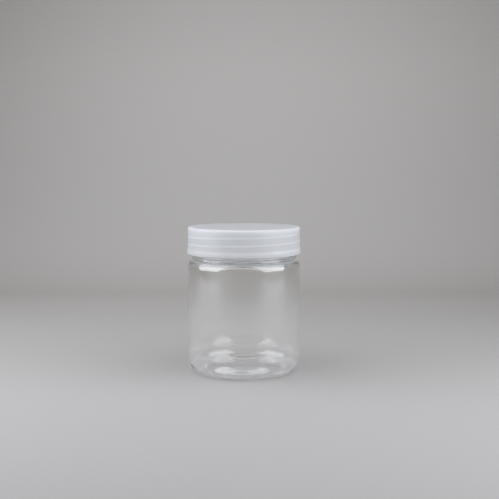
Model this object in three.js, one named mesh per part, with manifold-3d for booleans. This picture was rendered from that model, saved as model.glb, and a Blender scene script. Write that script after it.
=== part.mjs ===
// A wide-mouth screw-top jar: a clear blown jar, its translucent screw cap and the cap's sealing liner.
// Millimetres, +Z up. The origin is the centre of the foot ring, on the surface the jar stands on.
// The cap is screwed down. The front of the jar faces -Y.

import * as THREE from 'three';
import { mergeVertices } from 'three/addons/utils/BufferGeometryUtils.js';
import Module from 'manifold-3d';

const wasm = await Module();
wasm.setup();

// Jar body
const BODY_RADIUS = 34;
const BODY_WALL = 0.5;
const JAR_HEIGHT = 85.5; // foot to rim
const SHOULDER_HEIGHT = 4.5; // end of the straight wall to the start of the neck

// Jar base
const HEEL_RADIUS = 6; // outer rounding between wall and foot
const INNER_HEEL_TOP = 6.7; // height above the foot at which the inside starts to round inwards
const INNER_HEEL_WIDTH = 6; // wall to the end of that rounding
const FOOT_WIDTH = 2; // flat ring that the jar stands on
const FLOOR_THICKNESS = 0.6;
const PUSH_UP_HEIGHT = 8; // rise of the domed floor above the foot
const BROW_ROUNDING = 8; // between the dome and its steep side
const SIDE_ANGLE = 58; // degrees from level, steep side of the push-up
const SIDE_LENGTH = 0.8; // straight stretch of that side
const SIDE_FILLET = 4; // between the steep side and the foot
const GATE_DISC_RADIUS = 6.7; // shallow disc round the gate
const GATE_DISC_DEPTH = 0.35;
const GATE_NUB_RADIUS = 1.8; // stub left where the plastic was injected
const GATE_NUB_LENGTH = 0.7;

// Jar neck
const NECK_HEIGHT = 17.2; // top of the shoulder to the rim
const NECK_WALL = 1;
const RIM_ROUNDING = 0.35;
const SHOULDER_WALL = 0.5; // at the top of the shoulder, measured downwards
const LEDGE_HEIGHT = 1.2; // thicker band where the neck meets the shoulder
const LEDGE_DEPTH = 0.4;
const BEAD_RISE = 1.9; // top of the shoulder to the underside of the transfer bead
const BEAD_HEIGHT = 1.2;
const BEAD_DEPTH = 0.9;

// Thread, single start and right-handed, on the neck and in the cap
const THREAD_LEAD = 4.5;
const THREAD_DEPTH = 1.1;
const THREAD_CREST = 0.9; // axial width at the crest
const THREAD_BASE = 1.9; // axial width at the root
const THREAD_SETBACK = 2; // rim to the top end of the neck's thread
const THREAD_TOP_ANGLE = 154; // degrees from +X, top end of the neck's thread
const NECK_TURNS = 1.5;
const CAP_TURNS = 2.17;
const RUN_OUT = 18; // degrees over which a thread's end sinks into its wall

// Cap and liner
const SKIRT_WALL = 1.3;
const PANEL_THICKNESS = 1.3;
const CORNER_RADIUS = 1.2; // outer rounding between panel and skirt
const HEM_HEIGHT = 3.1; // thicker band round the skirt's bottom edge
const HEM_DEPTH = 0.5;
const HEM_SLOPE = 1.4; // height over which the band slopes back to the skirt
const EDGE_ROUNDING = 0.3;
const LINER_THICKNESS = 0.8;

// Clearances
const SEAT_GAP = 0.2; // rim to liner, and liner to panel
const LINER_SIDE_GAP = 0.4; // liner to skirt
const LINER_CATCH = 0.4; // liner to the top end of the cap's thread
const SKIRT_GAP = 0.6; // transfer bead to the skirt's bottom edge
const CREST_GAP = 0.3; // neck thread's crest to the skirt
const ROOT_GAP = 0.4; // cap thread's crest to the neck
const FLANK_GAP = 0.3; // neck thread's underside to the cap thread's upper side

const SEGMENTS = 60; // facets round the axis
const EMBED = 0.4; // depth of a thread's root inside its wall

// Radii. The skirt is flush with the body, and the neck fits inside the skirt.
const skirtInner = BODY_RADIUS - SKIRT_WALL;
const neckThreadRadius = skirtInner - CREST_GAP;
const neckRadius = neckThreadRadius - THREAD_DEPTH;
const neckBore = neckRadius - NECK_WALL;
const bodyInner = BODY_RADIUS - BODY_WALL;
const capThreadRadius = neckRadius + ROOT_GAP;
const linerRadius = skirtInner - LINER_SIDE_GAP;

// Heights
const neckBase = JAR_HEIGHT - NECK_HEIGHT;
const bodyTop = neckBase - SHOULDER_HEIGHT;
const beadBottom = neckBase + BEAD_RISE;
const skirtBottom = beadBottom + BEAD_HEIGHT + SKIRT_GAP;
const linerBottom = JAR_HEIGHT + SEAT_GAP;
const panelBottom = linerBottom + LINER_THICKNESS + SEAT_GAP;
const capTop = panelBottom + PANEL_THICKNESS;

/** Points of a circular arc, first and last included, with angles in degrees. */
function arc(centreR, centreZ, radius, from, to, steps) {
  const points = [];
  for (let i = 0; i <= steps; i++) {
    const angle = THREE.MathUtils.degToRad(from + ((to - from) * i) / steps);
    points.push([centreR + radius * Math.cos(angle), centreZ + radius * Math.sin(angle)]);
  }
  return points;
}

/** Points of a quarter ellipse from an upright end, over a rounded corner, to a level end. */
function roundedCorner(upright, level, steps) {
  const points = [];
  for (let i = 0; i <= steps; i++) {
    const angle = ((Math.PI / 2) * i) / steps;
    points.push([
      level[0] + (upright[0] - level[0]) * Math.cos(angle),
      upright[1] + (level[1] - upright[1]) * Math.sin(angle),
    ]);
  }
  return points;
}

/**
 * Points of the push-up from startRadius out to the foot, offset upwards from its underside by rise.
 * A shallow dome, a rounded brow, a steep side and a fillet follow each other, each tangent to the next.
 * Each arc keeps its centre at any rise, so the floor has the same thickness all over.
 */
function pushUp(startRadius, rise) {
  const side = THREE.MathUtils.degToRad(SIDE_ANGLE);
  const along = [-Math.cos(side), Math.sin(side)];
  const across = [Math.sin(side), Math.cos(side)];
  const filletCentre = [BODY_RADIUS - HEEL_RADIUS - FOOT_WIDTH, SIDE_FILLET];
  const browCentre = [0, 1].map(
    (i) => filletCentre[i] - (SIDE_FILLET + BROW_ROUNDING) * across[i] + SIDE_LENGTH * along[i],
  );
  const browDepth = PUSH_UP_HEIGHT - browCentre[1];
  const domeRadius =
    (browCentre[0] ** 2 + browDepth ** 2 - BROW_ROUNDING ** 2) / (2 * (browDepth - BROW_ROUNDING));
  const domeCentre = PUSH_UP_HEIGHT - domeRadius;
  const domeStart = THREE.MathUtils.radToDeg(Math.acos(startRadius / (domeRadius + rise)));
  const domeEnd = THREE.MathUtils.radToDeg(Math.atan2(browCentre[1] - domeCentre, browCentre[0]));
  return [
    ...arc(0, domeCentre, domeRadius + rise, domeStart, domeEnd, 4),
    ...arc(...browCentre, BROW_ROUNDING + rise, domeEnd, 90 - SIDE_ANGLE, 4).slice(1),
    ...arc(...filletCentre, SIDE_FILLET - rise, 270 - SIDE_ANGLE, 270, 4),
  ];
}

/** Manifold solid of a closed geometry. */
function solidOf(geometry) {
  geometry.deleteAttribute('normal');
  geometry.deleteAttribute('uv');
  const merged = mergeVertices(geometry, 1e-5);
  const corners = merged.index.array;
  const triangles = [];
  for (let i = 0; i < corners.length; i += 3) {
    const [a, b, c] = [corners[i], corners[i + 1], corners[i + 2]];
    if (a !== b && b !== c && c !== a) triangles.push(a, b, c);
  }
  return new wasm.Manifold(
    new wasm.Mesh({
      numProp: 3,
      vertProperties: new Float32Array(merged.attributes.position.array),
      triVerts: new Uint32Array(triangles),
    }),
  );
}

/** Solid of a [radius, height] outline turned round the Z axis, which it starts and ends on. */
function turned(outline) {
  const points = outline.map(([radius, height]) => new THREE.Vector2(radius, height));
  return solidOf(new THREE.LatheGeometry(points, SEGMENTS).rotateX(Math.PI / 2));
}

/** Geometry of a manifold solid, for a mesh. */
function geometryOf(solid) {
  const { vertProperties, triVerts } = solid.getMesh();
  const geometry = new THREE.BufferGeometry();
  geometry.setAttribute('position', new THREE.BufferAttribute(vertProperties, 3));
  geometry.setIndex(new THREE.BufferAttribute(triVerts, 1));
  geometry.computeVertexNormals();
  return geometry;
}

/**
 * One thread: a bar of trapezium section wound down a right-hand helix from its top end. It stands out
 * from a wall at wallRadius to crestRadius, and both its ends sink into that wall.
 */
function thread(wallRadius, crestRadius, topZ, topAngle, turns) {
  const outward = Math.sign(crestRadius - wallRadius);
  const depth = Math.abs(crestRadius - wallRadius);
  const rootHalf = THREAD_CREST / 2 + (depth + EMBED) * flankSlope;
  const section = new THREE.Shape([
    new THREE.Vector2(-outward * EMBED, -rootHalf),
    new THREE.Vector2(-outward * EMBED, rootHalf),
    new THREE.Vector2(outward * depth, THREAD_CREST / 2),
    new THREE.Vector2(outward * depth, -THREAD_CREST / 2),
  ]);
  const sweep = 2 * Math.PI * turns;
  const steps = Math.round(SEGMENTS * turns);
  const bar = new THREE.ExtrudeGeometry(section, { steps, depth: sweep, bevelEnabled: false });
  const position = bar.attributes.position;
  const runOut = THREE.MathUtils.degToRad(RUN_OUT);
  for (let i = 0; i < position.count; i++) {
    const turn = position.getZ(i);
    const height = Math.min(turn / runOut, (sweep - turn) / runOut, 1);
    const stand = position.getX(i) * outward;
    const faded = stand > 0 ? THREE.MathUtils.lerp(-EMBED / 2, stand, height) : stand;
    const radius = wallRadius + outward * faded;
    const angle = topAngle - turn;
    position.setXYZ(
      i,
      radius * Math.cos(angle),
      radius * Math.sin(angle),
      topZ + position.getY(i) - (THREAD_LEAD * turn) / (2 * Math.PI),
    );
  }
  return solidOf(bar);
}

// The two threads have the same flank angle, so their flanks stay parallel and FLANK_GAP apart.
const flankSlope = (THREAD_BASE - THREAD_CREST) / 2 / THREAD_DEPTH;
const flankOverlap = neckThreadRadius - capThreadRadius;
const threadSpacing = THREAD_CREST + flankOverlap * flankSlope + FLANK_GAP * Math.hypot(1, flankSlope);
const neckThreadTop = JAR_HEIGHT - THREAD_SETBACK;
const neckThreadAngle = THREE.MathUtils.degToRad(THREAD_TOP_ANGLE);
const capThreadTop = linerBottom - LINER_CATCH - THREAD_BASE / 2;
const capThreadAngle =
  neckThreadAngle + (2 * Math.PI * (capThreadTop - neckThreadTop + threadSpacing)) / THREAD_LEAD;

/** The jar: base, wall, shoulder and neck turned as one, with the neck's thread joined on. */
function makeJar() {
  const domeUnderside = pushUp(GATE_DISC_RADIUS + GATE_DISC_DEPTH, 0);
  const gateDiscBottom = domeUnderside[0][1] + GATE_DISC_DEPTH;
  const innerHeelFoot = [bodyInner - INNER_HEEL_WIDTH, FLOOR_THICKNESS];
  const underside = [
    [0, gateDiscBottom - GATE_NUB_LENGTH],
    [GATE_NUB_RADIUS, gateDiscBottom - GATE_NUB_LENGTH],
    [GATE_NUB_RADIUS, gateDiscBottom],
    [GATE_DISC_RADIUS, gateDiscBottom],
    ...domeUnderside,
  ];
  const outside = [
    ...arc(BODY_RADIUS - HEEL_RADIUS, HEEL_RADIUS, HEEL_RADIUS, -90, 0, 5),
    ...roundedCorner([BODY_RADIUS, bodyTop], [neckRadius + LEDGE_DEPTH, neckBase], 5),
    [neckRadius + LEDGE_DEPTH, neckBase + LEDGE_HEIGHT],
    [neckRadius, neckBase + LEDGE_HEIGHT],
    [neckRadius, beadBottom],
    [neckRadius + BEAD_DEPTH, beadBottom + EDGE_ROUNDING],
    [neckRadius + BEAD_DEPTH, beadBottom + BEAD_HEIGHT - EDGE_ROUNDING],
    [neckRadius, beadBottom + BEAD_HEIGHT],
    ...arc(neckRadius - RIM_ROUNDING, JAR_HEIGHT - RIM_ROUNDING, RIM_ROUNDING, 0, 90, 2),
  ];
  const inside = [
    ...arc(neckBore + RIM_ROUNDING, JAR_HEIGHT - RIM_ROUNDING, RIM_ROUNDING, 90, 180, 2),
    ...roundedCorner([bodyInner, bodyTop], [neckBore, neckBase - SHOULDER_WALL], 5).reverse(),
    ...roundedCorner([bodyInner, INNER_HEEL_TOP], innerHeelFoot, 5),
    ...pushUp(0, FLOOR_THICKNESS).reverse(),
  ];
  const ridge = thread(neckRadius, neckThreadRadius, neckThreadTop, neckThreadAngle, NECK_TURNS);
  return turned([...underside, ...outside, ...inside]).add(ridge);
}

/** The screw cap: panel and skirt turned as one, with the cap's thread joined on inside. */
function makeCap() {
  const hemRadius = BODY_RADIUS + HEM_DEPTH;
  const hemTop = skirtBottom + HEM_HEIGHT;
  const outline = [
    [0, panelBottom],
    [skirtInner, panelBottom],
    [skirtInner, skirtBottom + EDGE_ROUNDING],
    [skirtInner + EDGE_ROUNDING, skirtBottom],
    ...arc(hemRadius - EDGE_ROUNDING, skirtBottom + EDGE_ROUNDING, EDGE_ROUNDING, -90, 0, 2),
    [hemRadius, hemTop - HEM_SLOPE],
    [BODY_RADIUS, hemTop],
    ...arc(BODY_RADIUS - CORNER_RADIUS, capTop - CORNER_RADIUS, CORNER_RADIUS, 0, 90, 5),
    [0, capTop],
  ];
  const ridge = thread(skirtInner, capThreadRadius, capThreadTop, capThreadAngle, CAP_TURNS);
  return turned(outline).add(ridge);
}

/** The liner: a plain disc that lies loose between the rim and the panel, above the cap's thread. */
function makeLiner() {
  return turned([
    [0, linerBottom],
    [linerRadius, linerBottom],
    [linerRadius, linerBottom + LINER_THICKNESS],
    [0, linerBottom + LINER_THICKNESS],
  ]);
}

/** One named mesh with its own material. */
function piece(name, solid, color, roughness) {
  const mesh = new THREE.Mesh(
    geometryOf(solid),
    new THREE.MeshStandardMaterial({ color, roughness, metalness: 0 }),
  );
  mesh.name = name;
  return mesh;
}

const jarWithCap = new THREE.Group();
jarWithCap.add(
  piece('jar', makeJar(), 0xdfe2e4, 0.05),
  piece('cap_liner', makeLiner(), 0xe6e8ea, 0.5),
  piece('screw_cap', makeCap(), 0xdcdfe4, 0.35),
);

export default jarWithCap;
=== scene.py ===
"""Looks of the screw-top jar: a clear blown jar, a milky screw cap and its liner, on a pale studio sweep."""

import math

import bpy
import numpy as np
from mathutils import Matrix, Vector


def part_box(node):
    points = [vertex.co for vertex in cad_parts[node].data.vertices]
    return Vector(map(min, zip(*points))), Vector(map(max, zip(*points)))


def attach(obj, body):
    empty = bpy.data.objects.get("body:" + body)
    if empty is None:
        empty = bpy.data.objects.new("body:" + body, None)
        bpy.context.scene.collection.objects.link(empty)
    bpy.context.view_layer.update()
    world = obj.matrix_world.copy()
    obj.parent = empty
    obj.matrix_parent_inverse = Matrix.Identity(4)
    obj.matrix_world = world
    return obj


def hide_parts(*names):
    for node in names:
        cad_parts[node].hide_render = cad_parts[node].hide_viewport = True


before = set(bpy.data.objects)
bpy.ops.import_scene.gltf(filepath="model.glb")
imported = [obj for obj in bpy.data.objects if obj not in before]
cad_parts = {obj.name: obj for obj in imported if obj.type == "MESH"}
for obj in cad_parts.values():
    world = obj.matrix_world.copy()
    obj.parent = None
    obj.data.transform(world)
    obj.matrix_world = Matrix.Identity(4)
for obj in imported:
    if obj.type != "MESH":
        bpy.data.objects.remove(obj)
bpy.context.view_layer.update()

MM = 0.001

# Sizes that the frame gives, in millimetres
jar_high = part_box("jar")[1] / MM
cap_low, cap_high = (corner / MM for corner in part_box("screw_cap"))
liner_low, liner_high = (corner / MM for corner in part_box("cap_liner"))
BODY_RADIUS = jar_high.x
RIM_Z = jar_high.z
HEM_RADIUS = cap_high.x
SKIRT_BOTTOM = cap_low.z
CAP_TOP = cap_high.z
LINER_RADIUS = liner_high.x

# Sizes inside those boxes, in millimetres
BODY_WALL = 0.5
HEEL_RADIUS = 6
INNER_HEEL_TOP = 6.7
INNER_HEEL_WIDTH = 6
FOOT_WIDTH = 2
FLOOR_THICKNESS = 0.6
PUSH_UP_HEIGHT = 8
BROW_ROUNDING = 8
SIDE_ANGLE = 58
SIDE_LENGTH = 0.8
SIDE_FILLET = 4
GATE_DISC_RADIUS = 6.7
GATE_DISC_DEPTH = 0.35
GATE_NUB_RADIUS = 1.8
GATE_NUB_LENGTH = 0.7
NECK_HEIGHT = 17.2
NECK_WALL = 1
SHOULDER_HEIGHT = 4.5
SHOULDER_WALL = 0.5
LEDGE_HEIGHT = 1.2
LEDGE_DEPTH = 0.4
BEAD_RISE = 1.9
BEAD_HEIGHT = 1.2
BEAD_DEPTH = 0.9
THREAD_LEAD = 4.5
THREAD_DEPTH = 1.1
THREAD_CREST = 0.9
THREAD_BASE = 1.9
THREAD_SETBACK = 2
THREAD_TOP_ANGLE = math.radians(154)
NECK_TURNS = 1.5
CAP_TURNS = 2.17
RUN_OUT = math.radians(18)
SKIRT_WALL = 1.3
PANEL_THICKNESS = 1.3
CORNER_RADIUS = 1.2
HEM_HEIGHT = 3.1
HEM_SLOPE = 1.4
BEAD_CHAMFER = 0.3
LINER_CATCH = 0.4
CREST_GAP = 0.3
ROOT_GAP = 0.4
FLANK_GAP = 0.3

# Roundings of moulded edges, in millimetres
GATE_ROUNDING = 0.25
COLLAR_ROUNDING = 0.35
RIM_ROUNDING = 0.35
CEILING_ROUNDING = 0.4
HEM_ROUNDING = 0.3
LINER_ROUNDING = 0.2

SKIRT_INNER = BODY_RADIUS - SKIRT_WALL
NECK_THREAD_RADIUS = SKIRT_INNER - CREST_GAP
NECK_RADIUS = NECK_THREAD_RADIUS - THREAD_DEPTH
NECK_BORE = NECK_RADIUS - NECK_WALL
BODY_INNER = BODY_RADIUS - BODY_WALL
CAP_THREAD_RADIUS = NECK_RADIUS + ROOT_GAP
NECK_BASE = RIM_Z - NECK_HEIGHT
BODY_TOP = NECK_BASE - SHOULDER_HEIGHT
BEAD_BOTTOM = NECK_BASE + BEAD_RISE
PANEL_BOTTOM = CAP_TOP - PANEL_THICKNESS
FLANK_SLOPE = (THREAD_BASE - THREAD_CREST) / 2 / THREAD_DEPTH
THREAD_SPACING = (
    THREAD_CREST
    + (NECK_THREAD_RADIUS - CAP_THREAD_RADIUS) * FLANK_SLOPE
    + FLANK_GAP * math.hypot(1, FLANK_SLOPE)
)
NECK_THREAD_TOP = RIM_Z - THREAD_SETBACK
CAP_THREAD_TOP = liner_low.z - LINER_CATCH - THREAD_BASE / 2
CAP_THREAD_ANGLE = (
    THREAD_TOP_ANGLE
    + math.tau * (CAP_THREAD_TOP - NECK_THREAD_TOP + THREAD_SPACING) / THREAD_LEAD
)

# Fineness of the meshes
SEGMENTS = 256
THREAD_STEP = 0.12  # height in millimetres of one row of faces on a threaded wall
SKIRT_STEP = 0.2  # the same on the skirt's outside
CORNER_SHARE = 0.45  # most of a side that the rounding of one of its ends may take
PLAIN_END = 1.0  # height in millimetres of the plain wall beside a rounded edge
CREASE = 0.01  # distance in millimetres of the ring that keeps a corner's shading crisp

# Painted light: a faint white haze that lightens the jar's base
BASE_PAINTED_HAZE = 0.045  # share of light that it scatters at the foot
BASE_PAINTED_HAZE_HEIGHT = 24  # height in millimetres at which it has faded out

# Milkiness of the cap, with painted light: the skirt painted lighter than the panel, and painted highlights
# along the thread, the rim and the bottom edge
MILK_THIN = 0.81  # share of light that the panel scatters
MILK_THICK = 1.0  # share of light that the thickest plastic, and the brightest painted highlights, scatter
SKIRT_PAINTED_LIGHT = 0.4  # painted light: how far the plain skirt, painted lighter than the panel, is from the first to the second
RIM_PAINTED_HIGHLIGHT = 0.55  # painted highlight: how far the rim, where panel and skirt meet, is from the first to the second
EDGE_PAINTED_HIGHLIGHT_HEIGHT = 0.8  # height in millimetres over which the skirt's bottom edge turns milky, a painted highlight
MILK_BORDER = 2.0  # width in millimetres over which the panel's milkiness turns into the skirt's, which is painted lighter


# ---- outlines: lists of (radius, height) in millimetres ----

def arc(centre, radius, start, end, steps):
    """Points of a circular arc, angles in degrees."""
    angles = np.radians(np.linspace(start, end, steps + 1))
    return [(centre[0] + radius * math.cos(a), centre[1] + radius * math.sin(a)) for a in angles]


def rounded_corner(upright, level, steps=24):
    """A quarter ellipse from an upright end to a level end."""
    angles = np.linspace(0, math.pi / 2, steps + 1)
    return [
        (
            level[0] + (upright[0] - level[0]) * math.cos(a),
            upright[1] + (level[1] - upright[1]) * math.sin(a),
        )
        for a in angles
    ]


def push_up(start_radius, rise):
    """The push-up from start_radius out to the foot, offset upwards from its underside by rise.

    A shallow dome, a rounded brow, a steep side and a fillet follow each other, each tangent to the next.
    """
    side = math.radians(SIDE_ANGLE)
    along = np.array([-math.cos(side), math.sin(side)])
    across = np.array([math.sin(side), math.cos(side)])
    fillet = np.array([BODY_RADIUS - HEEL_RADIUS - FOOT_WIDTH, SIDE_FILLET])
    brow = fillet - (SIDE_FILLET + BROW_ROUNDING) * across + SIDE_LENGTH * along
    depth = PUSH_UP_HEIGHT - brow[1]
    dome_radius = (brow[0] ** 2 + depth ** 2 - BROW_ROUNDING ** 2) / (2 * (depth - BROW_ROUNDING))
    dome = np.array([0, PUSH_UP_HEIGHT - dome_radius])
    start = math.degrees(math.acos(start_radius / (dome_radius + rise)))
    end = math.degrees(math.atan2(brow[1] - dome[1], brow[0]))
    points = arc(dome, dome_radius + rise, start, end, steps=12)
    points += arc(brow, BROW_ROUNDING + rise, end, 90 - SIDE_ANGLE, steps=14)[1:]
    return points + arc(fillet, SIDE_FILLET - rise, 270 - SIDE_ANGLE, 270, steps=12)


def straight(start, end, step):
    """Points along a straight line, at most step apart."""
    count = max(1, math.ceil(math.dist(start, end) / step))
    return [
        (start[0] + (end[0] - start[0]) * t, start[1] + (end[1] - start[1]) * t)
        for t in np.linspace(0, 1, count + 1)
    ]


def softened(outline, radius, steps=3):
    """The outline with each plain corner cut by a short curve of about that size."""
    result = [outline[0]]
    for before, corner, after in zip(outline, outline[1:], outline[2:]):
        a = np.array(before) - corner
        b = np.array(after) - corner
        a_length = np.linalg.norm(a)
        b_length = np.linalg.norm(b)
        reach = min(radius, a_length * CORNER_SHARE, b_length * CORNER_SHARE)
        start = corner + a / a_length * reach
        end = corner + b / b_length * reach
        for t in np.linspace(0, 1, steps + 1):
            result.append(tuple((1 - t) ** 2 * start + 2 * t * (1 - t) * np.array(corner) + t * t * end))
    return result + [outline[-1]]


# ---- threads ----

def eased(share):
    """A share from 0 to 1 that changes softly at both ends."""
    return share * share * (3 - 2 * share)


def thread_stand(angle, height, top_angle, top, depth, turns):
    """How far a right-hand thread stands out of its wall at each angle and height."""
    base = THREAD_CREST / 2 + depth * FLANK_SLOPE
    first = (top_angle - angle) % math.tau
    stand = np.zeros(np.broadcast(angle, height).shape)
    for whole in range(math.ceil(turns) + 1):
        turned = first + math.tau * whole
        centre = top - THREAD_LEAD * turned / math.tau
        fade = np.clip(np.minimum(turned, math.tau * turns - turned) / RUN_OUT, 0, 1)
        flank = np.clip((base - np.abs(height - centre)) / (base - THREAD_CREST / 2), 0, 1)
        stand = np.maximum(stand, depth * eased(flank) * eased(fade))
    return stand


def neck_thread(angle, height):
    """How far the jar's thread stands out of the neck."""
    return thread_stand(angle, height, THREAD_TOP_ANGLE, NECK_THREAD_TOP, THREAD_DEPTH, NECK_TURNS)


def cap_thread(angle, height):
    """How far the cap's thread stands in from the skirt."""
    depth = SKIRT_INNER - CAP_THREAD_RADIUS
    return thread_stand(angle, height, CAP_THREAD_ANGLE, CAP_THREAD_TOP, depth, CAP_TURNS)


# ---- meshes ----

def turned_mesh(name, outline, thread=None, threaded=None, outward=1):
    """A closed mesh turned round Z. Outline points inside the threaded span carry the thread."""
    points = np.array(outline)
    angles = np.arange(SEGMENTS) * math.tau / SEGMENTS
    inner = points[1:-1]
    radius = np.repeat(inner[:, :1], SEGMENTS, axis=1)
    height = np.repeat(inner[:, 1:], SEGMENTS, axis=1)
    if thread is not None:
        rows = np.arange(len(points))[1:-1]
        carries = (rows >= threaded[0]) & (rows < threaded[1])
        stand = thread(angles[None, :], height)
        radius = radius + outward * np.where(carries[:, None], stand, 0)
    rings = np.stack([radius * np.cos(angles), radius * np.sin(angles), height], axis=2)
    vertices = np.concatenate([[[0, 0, points[0, 1]]], rings.reshape(-1, 3), [[0, 0, points[-1, 1]]]])
    last = len(vertices) - 1
    last_ring = last - SEGMENTS
    faces = []
    for i in range(SEGMENTS):
        j = (i + 1) % SEGMENTS
        faces.append((0, 1 + j, 1 + i))
        faces.append((last, last_ring + i, last_ring + j))
        for row in range(len(inner) - 1):
            a = 1 + row * SEGMENTS
            faces.append((a + i, a + j, a + SEGMENTS + j, a + SEGMENTS + i))
    mesh = bpy.data.meshes.new(name)
    mesh.from_pydata((vertices * MM).tolist(), [], faces)
    mesh.validate()
    mesh.shade_smooth()
    piece = bpy.data.objects.new(name, mesh)
    bpy.context.scene.collection.objects.link(piece)
    return piece


def jar_underside():
    """The jar's outline from the gate's nub, over the push-up and round the heel."""
    dome = push_up(GATE_DISC_RADIUS + GATE_DISC_DEPTH, 0)
    disc_bottom = dome[0][1] + GATE_DISC_DEPTH
    gate = softened([
        (0, disc_bottom - GATE_NUB_LENGTH),
        (GATE_NUB_RADIUS, disc_bottom - GATE_NUB_LENGTH),
        (GATE_NUB_RADIUS, disc_bottom),
        (GATE_DISC_RADIUS, disc_bottom),
        dome[0],
        dome[1],
    ], GATE_ROUNDING)
    heel = arc((BODY_RADIUS - HEEL_RADIUS, HEEL_RADIUS), HEEL_RADIUS, -90, 0, steps=24)
    return gate + dome[1:] + heel


def jar_collar():
    """The outline over the shoulder, the ledge and the bead, up to the neck's plain wall."""
    ledge = NECK_RADIUS + LEDGE_DEPTH
    bead = NECK_RADIUS + BEAD_DEPTH
    shoulder = rounded_corner((BODY_RADIUS, BODY_TOP), (ledge, NECK_BASE))
    return shoulder + softened([
        shoulder[-1],
        (ledge, NECK_BASE + CREASE),
        (ledge, NECK_BASE + LEDGE_HEIGHT),
        (NECK_RADIUS, NECK_BASE + LEDGE_HEIGHT),
        (NECK_RADIUS, BEAD_BOTTOM),
        (bead, BEAD_BOTTOM + BEAD_CHAMFER),
        (bead, BEAD_BOTTOM + BEAD_HEIGHT - BEAD_CHAMFER),
        (NECK_RADIUS, BEAD_BOTTOM + BEAD_HEIGHT),
        (NECK_RADIUS, BEAD_BOTTOM + BEAD_HEIGHT + PLAIN_END),
    ], COLLAR_ROUNDING, steps=6)[1:]


def jar_inside():
    """The outline down the inside, from the shoulder to the middle of the base."""
    shoulder = rounded_corner((BODY_INNER, BODY_TOP), (NECK_BORE, NECK_BASE - SHOULDER_WALL))[::-1]
    heel = rounded_corner((BODY_INNER, INNER_HEEL_TOP), (BODY_INNER - INNER_HEEL_WIDTH, FLOOR_THICKNESS))
    return shoulder + heel + push_up(0, FLOOR_THICKNESS)[::-1]


def make_jar():
    """The blown jar: base, wall, shoulder and threaded neck, as one closed skin."""
    start = jar_underside() + jar_collar()
    neck_wall = straight(start[-1], (NECK_RADIUS, RIM_Z - PLAIN_END / 2), THREAD_STEP)[1:]
    rim = softened([
        neck_wall[-1],
        (NECK_RADIUS, RIM_Z),
        (NECK_BORE, RIM_Z),
        (NECK_BORE, RIM_Z - PLAIN_END),
    ], RIM_ROUNDING)[1:]
    outline = start + neck_wall + rim + jar_inside()
    threaded = (len(start), len(start) + len(neck_wall))
    piece = turned_mesh("clear_jar", outline, neck_thread, threaded)
    # Painted light: the haze that lightens the base, fading out upwards
    height = np.array([vertex.co.z for vertex in piece.data.vertices]) / MM
    painted_light_haze = BASE_PAINTED_HAZE * np.clip(1 - height / BASE_PAINTED_HAZE_HEIGHT, 0, 1)
    piece.data.attributes.new("painted_light_haze", "FLOAT", "POINT").data.foreach_set("value", painted_light_haze)
    return piece


def cap_milk_and_painted_light(mesh):
    """How milky the cap looks at each vertex, 0 at the panel's middle to 1 where its plastic is thickest,
    with painted light added.

    Along the thread the milkiness is partly the thicker plastic and partly a painted highlight on the thread
    lines. The skirt is painted lighter than the panel, and painted highlights lie along the bottom edge and
    the rim: the rim is milky within one corner radius of its outer edge, and fades out within the next.
    """
    x, y, z = np.array([vertex.co for vertex in mesh.vertices]).T / MM
    radius = np.hypot(x, y)
    thread = cap_thread(np.arctan2(y, x), z) / (SKIRT_INNER - CAP_THREAD_RADIUS)
    # Painted highlight along the rim
    corner = RIM_PAINTED_HIGHLIGHT * np.clip(2 - np.hypot(radius - BODY_RADIUS, z - CAP_TOP) / CORNER_RADIUS, 0, 1)
    # Painted highlight along the skirt's bottom edge
    edge = np.clip(1 - (z - SKIRT_BOTTOM) / EDGE_PAINTED_HIGHLIGHT_HEIGHT, 0, 1)
    # Painted light: the skirt is lighter than the panel
    below_top = np.clip((CAP_TOP - z) / CORNER_RADIUS, 0, 1)
    skirt = SKIRT_PAINTED_LIGHT * below_top * np.clip(1 - (SKIRT_INNER - radius) / MILK_BORDER, 0, 1)
    return skirt + (1 - skirt) * np.maximum(np.maximum(thread ** 2, corner), edge)


def make_cap():
    """The moulded screw cap: panel, skirt, hem and inside thread, as one closed skin."""
    hem_top = SKIRT_BOTTOM + HEM_HEIGHT
    ceiling = softened([
        (0, PANEL_BOTTOM),
        (SKIRT_INNER - MILK_BORDER, PANEL_BOTTOM),
        (SKIRT_INNER, PANEL_BOTTOM),
        (SKIRT_INNER, PANEL_BOTTOM - PLAIN_END),
    ], CEILING_ROUNDING)
    skirt_inside = straight(ceiling[-1], (SKIRT_INNER, SKIRT_BOTTOM + PLAIN_END), THREAD_STEP)
    hem = softened([
        skirt_inside[-1],
        (SKIRT_INNER, SKIRT_BOTTOM),
        (HEM_RADIUS, SKIRT_BOTTOM),
        (HEM_RADIUS, hem_top - HEM_SLOPE),
        (BODY_RADIUS, hem_top),
        (BODY_RADIUS, hem_top + PLAIN_END),
    ], HEM_ROUNDING)[1:]
    corner = arc((BODY_RADIUS - CORNER_RADIUS, CAP_TOP - CORNER_RADIUS), CORNER_RADIUS, 0, 90, steps=12)
    skirt_outside = straight(hem[-1], corner[0], SKIRT_STEP)[1:-1]
    panel = straight(corner[-1], (0, CAP_TOP), MILK_BORDER)[1:]
    start = ceiling[:-1]
    outline = start + skirt_inside + hem + skirt_outside + corner + panel
    threaded = (len(start), len(start) + len(skirt_inside))
    piece = turned_mesh("milky_screw_cap", outline, cap_thread, threaded, outward=-1)
    piece.data.attributes.new("milk_and_painted_light", "FLOAT", "POINT").data.foreach_set("value", cap_milk_and_painted_light(piece.data))
    return piece


def make_liner():
    """The loose sealing disc."""
    outline = softened([
        (0, liner_low.z),
        (LINER_RADIUS, liner_low.z),
        (LINER_RADIUS, liner_high.z),
        (0, liner_high.z),
    ], LINER_ROUNDING)
    return turned_mesh("sealing_disc", outline)


# ---- materials ----

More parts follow.
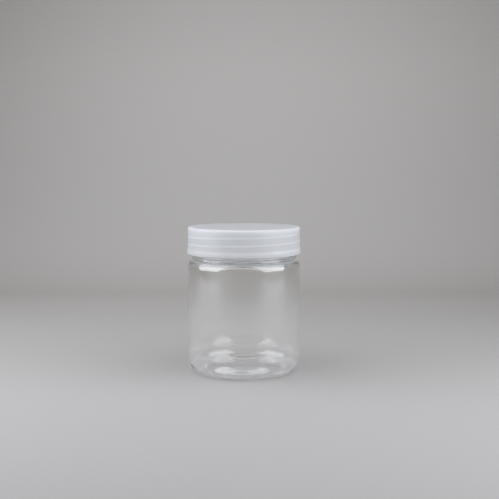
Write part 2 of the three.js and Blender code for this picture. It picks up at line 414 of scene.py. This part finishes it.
TRAPPED_DEPTH = 9.5  # bounces after which light that is caught inside a clear wall is let out


def new_material(name):
    """An empty node material, its tree and its output node."""
    material = bpy.data.materials.new(name)
    material.use_nodes = True
    tree = material.node_tree
    tree.nodes.clear()
    output = tree.nodes.new("ShaderNodeOutputMaterial")
    return material, tree, output


def add(tree, kind, inputs=None, **settings):
    """A node with its settings, and with a value or another node's output in each named input."""
    node = tree.nodes.new(kind)
    for key, value in settings.items():
        setattr(node, key, value)
    for key, value in (inputs or {}).items():
        if isinstance(value, bpy.types.NodeSocket):
            tree.links.new(value, node.inputs[key])
        else:
            node.inputs[key].default_value = value
    return node


def noise(tree, scale, detail):
    """Soft unevenness over the object, from 0 to 1."""
    place = add(tree, "ShaderNodeTexCoord").outputs["Object"]
    texture = add(tree, "ShaderNodeTexNoise", {"Vector": place, "Scale": scale, "Detail": detail})
    return texture.outputs["Fac"]


def spread(tree, value, low, high):
    """A value from 0 to 1, spread from low to high."""
    node = add(tree, "ShaderNodeMapRange", {"Value": value, "To Min": low, "To Max": high})
    return node.outputs["Result"]


def on_vertices(tree, name):
    """The value that the mesh holds at its vertices under that name."""
    return add(tree, "ShaderNodeAttribute", attribute_name=name).outputs["Fac"]


def mixed(tree, share, first, second):
    """Two shaders mixed, with that share of the second."""
    return add(tree, "ShaderNodeMixShader", {0: share, 1: first.outputs[0], 2: second.outputs[0]})


def calculated(tree, operation, first, second):
    """What one operation, such as MAXIMUM, makes of two values."""
    return add(tree, "ShaderNodeMath", {0: first, 1: second}, operation=operation).outputs[0]


def clear_pet():
    """Clear plastic that light falls through, with a painted haze that lightens it where the jar's mesh says
    so.
    """
    material, tree, output = new_material("clear_pet")
    waves = noise(tree, 60.0, 2.0)
    bump = add(tree, "ShaderNodeBump", {"Height": waves, "Strength": 0.03, "Distance": 0.001})
    plastic = add(tree, "ShaderNodeBsdfPrincipled", {
        "Base Color": (0.995, 0.995, 0.99, 1),
        "Roughness": spread(tree, waves, 0.01, 0.05),
        "IOR": 1.62,
        "Transmission Weight": 1.0,
        "Coat Weight": 0.7,
        "Coat IOR": 1.6,
        "Coat Roughness": 0.02,
        "Normal": bump.outputs["Normal"],
    })
    # White haze that paints the base lighter
    cloud = add(tree, "ShaderNodeBsdfDiffuse", {"Color": (0.95, 0.96, 0.98, 1)})
    wall = mixed(tree, on_vertices(tree, "painted_light_haze"), plastic, cloud)
    edge = add(tree, "ShaderNodeLayerWeight", {"Blend": 0.35}).outputs["Facing"]
    open_way = add(tree, "ShaderNodeBsdfTransparent", {"Color": spread(tree, edge, 1.0, 0.8)})
    ray = add(tree, "ShaderNodeLightPath").outputs
    lights = calculated(tree, "MAXIMUM", ray["Is Shadow Ray"], ray["Is Diffuse Ray"])
    caught = calculated(tree, "GREATER_THAN", ray["Ray Depth"], TRAPPED_DEPTH)
    passes = calculated(tree, "MAXIMUM", lights, caught)
    tree.links.new(mixed(tree, passes, wall, open_way).outputs[0], output.inputs["Surface"])
    return material


def milky_pp():
    """Uncoloured plastic, whiter and less clear where the cap's mesh says that it is thick, and where it
    carries painted light: a lighter skirt and painted highlights along the thread, the rim and the bottom
    edge.
    """
    material, tree, output = new_material("milky_pp")
    grain = noise(tree, 90.0, 3.0)
    milk_and_painted_light = on_vertices(tree, "milk_and_painted_light")
    plastic = add(tree, "ShaderNodeBsdfPrincipled", {
        "Base Color": (0.97, 0.975, 0.985, 1),
        "Roughness": spread(tree, grain, 0.14, 0.24),
        "IOR": 1.49,
        "Transmission Weight": 1.0,
    })
    # Whiter where the milk mask is high, and so also at its painted light and painted highlights
    tint_and_painted_light = add(tree, "ShaderNodeMix", {
        "Factor": milk_and_painted_light,
        "A": (0.85, 0.86, 0.88, 1),
        "B": (0.98, 0.99, 1.0, 1),
    }, data_type="RGBA").outputs["Result"]
    white = add(tree, "ShaderNodeBsdfPrincipled", {
        "Base Color": tint_and_painted_light,
        "Roughness": spread(tree, grain, 0.16, 0.25),
        "IOR": 1.49,
    })
    through = add(tree, "ShaderNodeBsdfTranslucent", {"Color": tint_and_painted_light})
    cloud = mixed(tree, 0.5, white, through)
    mix = mixed(tree, spread(tree, milk_and_painted_light, MILK_THIN, MILK_THICK), plastic, cloud)
    tree.links.new(mix.outputs[0], output.inputs["Surface"])
    return material


def natural_pe():
    """The liner's plastic, slightly rough and milky."""
    material, tree, output = new_material("natural_pe")
    plastic = add(tree, "ShaderNodeBsdfPrincipled", {
        "Base Color": (0.95, 0.955, 0.96, 1),
        "Roughness": spread(tree, noise(tree, 120.0, 3.0), 0.3, 0.45),
        "IOR": 1.51,
        "Transmission Weight": 1.0,
    })
    through = add(tree, "ShaderNodeBsdfTranslucent", {"Color": (0.93, 0.935, 0.94, 1)})
    tree.links.new(mixed(tree, 0.25, plastic, through).outputs[0], output.inputs["Surface"])
    return material


# ---- stage, light and camera ----

FLOOR_GAP = 0.05 * MM  # keeps the floor's face off the foot's
FLOOR_FRONT = -2.0
FLOOR_ROWS = 60
BEND_START = 0.33
BEND_RADIUS = 0.25
WALL_TOP = 1.6
SWEEP_HALF_WIDTH = 2.0
RUN_START = -0.6  # stretch of paper, measured from the start of the bend, over which its painted light and shade change
RUN_END = 0.6
PAPER_PAINTED_LIGHT = (  # painted light and shade, darkest on the floor just behind the jar and lighter up the bend and the wall: place along that stretch, grey and warmth
    (-0.6, 0.395, 0.014),
    (-0.38, 0.405, 0.014),
    (-0.27, 0.375, 0.022),
    (-0.12, 0.465, 0.028),
    (-0.04, 0.53, 0.036),
    (0.03, 0.56, 0.036),
    (0.12, 0.63, 0.028),
    (0.25, 0.66, 0.028),
    (0.38, 0.76, 0.03),
    (0.6, 0.75, 0.034),
)
SOFTBOX_WIDTH = 0.42
SOFTBOX_LENGTH = 0.662
SOFTBOX_DISTANCE = 0.295
SOFTBOX_HEIGHT = 0.26
SOFTBOX_LEAN = 45  # degrees from level
SOFTBOX_COLOR = (0.94, 0.957, 1.0)
LEFT_AZIMUTH = -75  # degrees round from the front
LEFT_POWER = 1.98
RIGHT_AZIMUTH = 61
RIGHT_POWER = 1.79
WORLD_STRENGTH = 0.20

CAMERA_DISTANCE = 0.544
CAMERA_HEIGHT = 0.1253
CAMERA_TILT = 5.386  # degrees down from level
CAMERA_YAW = 0.356  # degrees
CAMERA_LENS = 64.84


def sweep_paper():
    """Matt paper whose tone changes along the sweep as painted light and shade."""
    material, tree, output = new_material("sweep_paper")
    # Painted light and shade along the sweep
    tone = add(tree, "ShaderNodeValToRGB", {"Fac": on_vertices(tree, "run")})
    ramp = tone.color_ramp
    ramp.interpolation = "B_SPLINE"
    while len(ramp.elements) < len(PAPER_PAINTED_LIGHT):
        ramp.elements.new(1)
    for element, (place, grey, warmth) in zip(ramp.elements, PAPER_PAINTED_LIGHT):
        element.position = (place - RUN_START) / (RUN_END - RUN_START)
        element.color = (grey, grey * (1 - warmth), grey * (1 - 2 * warmth), 1)
    paper = add(tree, "ShaderNodeBsdfPrincipled", {"Base Color": tone.outputs["Color"], "Roughness": 0.9})
    tree.links.new(paper.outputs[0], output.inputs["Surface"])
    return material


def make_sweep():
    """A pale paper sweep: floor, bend and wall. Its vertices hold their place along the paper."""
    section = [(y, 0.0) for y in np.linspace(FLOOR_FRONT, BEND_START, FLOOR_ROWS)]
    section += arc((BEND_START, BEND_RADIUS), BEND_RADIUS, -90, 0, steps=32)[1:]
    section.append((BEND_START + BEND_RADIUS, WALL_TOP))
    sides = (-SWEEP_HALF_WIDTH, SWEEP_HALF_WIDTH)
    vertices = [(x, y, z - FLOOR_GAP) for y, z in section for x in sides]
    faces = [(i, i + 1, i + 3, i + 2) for i in range(0, len(vertices) - 2, 2)]
    mesh = bpy.data.meshes.new("sweep")
    mesh.from_pydata(vertices, [], faces)
    mesh.shade_smooth()
    lengths = [0.0]
    for before, after in zip(section, section[1:]):
        lengths.append(lengths[-1] + math.dist(before, after))
    runs = (np.repeat(lengths, 2) + FLOOR_FRONT - BEND_START - RUN_START) / (RUN_END - RUN_START)
    mesh.attributes.new("run", "FLOAT", "POINT").data.foreach_set("value", np.clip(runs, 0, 1))
    sweep = bpy.data.objects.new("sweep", mesh)
    bpy.context.scene.collection.objects.link(sweep)
    mesh.materials.append(sweep_paper())


def add_softbox(name, azimuth, power):
    """A softbox that leans over the jar, from near the floor at one side to almost straight above."""
    lamp = bpy.data.lights.new(name, "AREA")
    lamp.shape = "RECTANGLE"
    lamp.size = SOFTBOX_WIDTH
    lamp.size_y = SOFTBOX_LENGTH
    lamp.energy = power
    lamp.color = SOFTBOX_COLOR
    box = bpy.data.objects.new(name, lamp)
    a = math.radians(azimuth)
    lean = math.radians(SOFTBOX_LEAN)
    box.location = (SOFTBOX_DISTANCE * math.sin(a), -SOFTBOX_DISTANCE * math.cos(a), SOFTBOX_HEIGHT)
    aim = Vector((-math.sin(a) * math.sin(lean), math.cos(a) * math.sin(lean), -math.cos(lean)))
    box.rotation_mode = "QUATERNION"
    box.rotation_quaternion = aim.to_track_quat("-Z", "Y")
    bpy.context.scene.collection.objects.link(box)


def set_world(strength):
    """Even white light from all round."""
    world = bpy.data.worlds.new("studio")
    bpy.context.scene.world = world
    world.use_nodes = True
    background = world.node_tree.nodes["Background"]
    background.inputs["Color"].default_value = (1, 1, 1, 1)
    background.inputs["Strength"].default_value = strength


def make_camera():
    """A camera in front of the jar, a little above its cap."""
    data = bpy.data.cameras.new("camera")
    data.lens = CAMERA_LENS
    data.sensor_width = 36
    data.clip_start = 0.01
    camera = bpy.data.objects.new("camera", data)
    camera.location = (0, -CAMERA_DISTANCE, CAMERA_HEIGHT)
    camera.rotation_euler = (math.radians(90 - CAMERA_TILT), 0, math.radians(-CAMERA_YAW))
    bpy.context.scene.collection.objects.link(camera)
    bpy.context.scene.camera = camera


make_camera()

jar = make_jar()
jar.data.materials.append(clear_pet())
cap = make_cap()
cap.data.materials.append(milky_pp())
liner = make_liner()
liner.data.materials.append(natural_pe())
for piece, body, node, slot in (
    (jar, "jar_body", "jar", "clear_pet"),
    (cap, "cap_body", "screw_cap", "natural_pp"),
    (liner, "liner_body", "cap_liner", "liner_pe"),
):
    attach(piece, body)
    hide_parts(node)

make_sweep()
add_softbox("left_softbox", LEFT_AZIMUTH, LEFT_POWER)
add_softbox("right_softbox", RIGHT_AZIMUTH, RIGHT_POWER)
set_world(WORLD_STRENGTH)

# Light crosses many clear walls, so it may bounce often
cycles = bpy.context.scene.cycles
cycles.max_bounces = 64
cycles.transmission_bounces = 64
cycles.glossy_bounces = 48
cycles.diffuse_bounces = 12

bpy.context.scene.view_settings.view_transform = "Standard"
